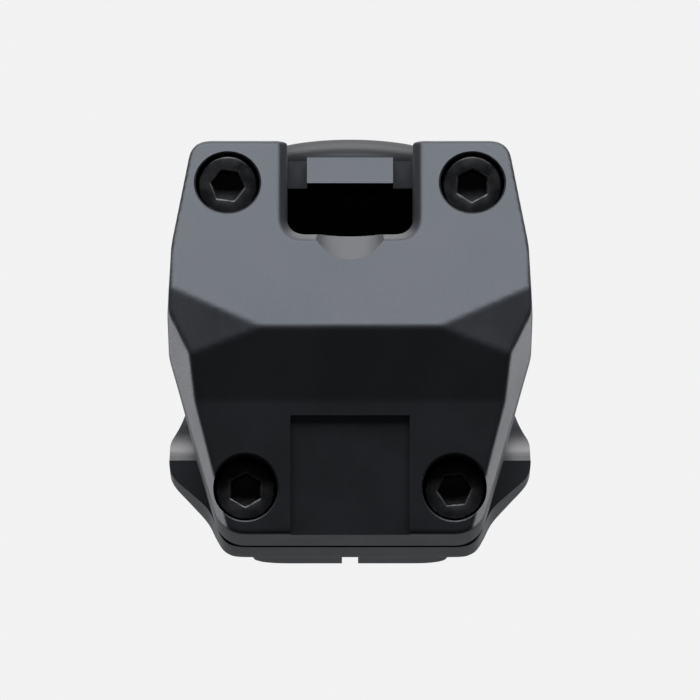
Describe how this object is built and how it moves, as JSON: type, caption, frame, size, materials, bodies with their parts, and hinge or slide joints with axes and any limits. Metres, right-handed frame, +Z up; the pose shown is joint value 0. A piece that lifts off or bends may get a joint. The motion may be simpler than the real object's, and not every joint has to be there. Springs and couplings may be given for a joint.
{
  "type": "handlebar stem",
  "caption": "Hollow bicycle handlebar stem with a removable bolted faceplate, a split rear steerer clamp, spacers and a domed top cap with its preload bolt and star nut.",
  "frame": {"origin": "on the steerer bore's axis, at the bottom face of the steerer clamp", "axes": "+Z up along the steerer, -Y forward from the steerer to the handlebar, +X along the handlebar"},
  "size_m": [0.052, 0.0995, 0.0662],
  "materials": {
    "forged_body": "satin black anodised over a bead-blasted forging",
    "forged_faceplate": "satin black anodised over a bead-blasted forging",
    "black_screws": "black oxide",
    "washers": "black zinc",
    "turned_aluminium": "satin black anodised, turned",
    "star_nut_steel": "yellow-grey zinc plate"
  },
  "bodies": {
    "stem": {"stem_body": "forged_body", "spacer_lower": "turned_aluminium", "spacer_upper": "turned_aluminium", "star_nut_sleeve": "star_nut_steel", "star_nut_spring_upper": "star_nut_steel", "star_nut_spring_lower": "star_nut_steel"},
    "front_clamp": {"faceplate": "forged_faceplate", "face_upper_left_washer": "washers", "face_upper_right_washer": "washers", "face_lower_left_washer": "washers", "face_lower_right_washer": "washers"},
    "upper_left_screw": {"face_upper_left_bolt": "black_screws"},
    "upper_right_screw": {"face_upper_right_bolt": "black_screws"},
    "lower_left_screw": {"face_lower_left_bolt": "black_screws"},
    "lower_right_screw": {"face_lower_right_bolt": "black_screws"},
    "upper_pinch_seat": {"pinch_upper_washer": "washers"},
    "upper_pinch_screw": {"pinch_upper_bolt": "black_screws"},
    "lower_pinch_seat": {"pinch_lower_washer": "washers"},
    "lower_pinch_screw": {"pinch_lower_bolt": "black_screws"},
    "cap": {"top_cap": "turned_aluminium"},
    "cap_screw": {"top_cap_bolt": "black_screws"}
  },
  "joints": [
    {"name": "faceplate_travel", "type": "slide", "parent": "stem", "child": "front_clamp", "axis": [0, -1, 0], "range_m": [0, 0.0112]},
    {"name": "upper_left_screw_turn", "type": "hinge", "parent": "front_clamp", "child": "upper_left_screw", "pos_m": [-0.0175, -0.0565, 0.043], "axis": [0, -1, 0], "range_deg": [0, 5040]},
    {"name": "upper_right_screw_turn", "type": "hinge", "parent": "front_clamp", "child": "upper_right_screw", "pos_m": [0.0175, -0.0565, 0.043], "axis": [0, -1, 0], "range_deg": [0, 5040]},
    {"name": "lower_left_screw_turn", "type": "hinge", "parent": "front_clamp", "child": "lower_left_screw", "pos_m": [-0.0149, -0.0565, -0.001], "axis": [0, -1, 0], "range_deg": [0, 5040]},
    {"name": "lower_right_screw_turn", "type": "hinge", "parent": "front_clamp", "child": "lower_right_screw", "pos_m": [0.0149, -0.0565, -0.001], "axis": [0, -1, 0], "range_deg": [0, 5040]},
    {"name": "upper_pinch_travel", "type": "slide", "parent": "stem", "child": "upper_pinch_seat", "axis": [1, 0, 0], "range_m": [0, 0.0092]},
    {"name": "upper_pinch_turn", "type": "hinge", "parent": "upper_pinch_seat", "child": "upper_pinch_screw", "pos_m": [0.008, 0.0205, 0.0325], "axis": [1, 0, 0], "range_deg": [0, 4140]},
    {"name": "lower_pinch_travel", "type": "slide", "parent": "stem", "child": "lower_pinch_seat", "axis": [-1, 0, 0], "range_m": [0, 0.0092]},
    {"name": "lower_pinch_turn", "type": "hinge", "parent": "lower_pinch_seat", "child": "lower_pinch_screw", "pos_m": [-0.008, 0.0205, 0.0095], "axis": [-1, 0, 0], "range_deg": [0, 4140]},
    {"name": "cap_lift", "type": "slide", "parent": "stem", "child": "cap", "axis": [0, 0, 1], "range_m": [0, 0.011]},
    {"name": "cap_screw_turn", "type": "hinge", "parent": "cap", "child": "cap_screw", "pos_m": [0, 0, 0.0543], "axis": [0, 0, 1], "range_deg": [0, 3960]}
  ],
  "couplings": [
    {"joint": "upper_left_screw_turn", "follows": "faceplate_travel", "rad_per_m": 7853.9},
    {"joint": "upper_right_screw_turn", "follows": "faceplate_travel", "rad_per_m": 7853.9},
    {"joint": "lower_left_screw_turn", "follows": "faceplate_travel", "rad_per_m": 7853.9},
    {"joint": "lower_right_screw_turn", "follows": "faceplate_travel", "rad_per_m": 7853.9},
    {"joint": "upper_pinch_turn", "follows": "upper_pinch_travel", "rad_per_m": 7853.9},
    {"joint": "lower_pinch_turn", "follows": "lower_pinch_travel", "rad_per_m": 7853.9},
    {"joint": "cap_screw_turn", "follows": "cap_lift", "rad_per_m": 6283.1}
  ]
}
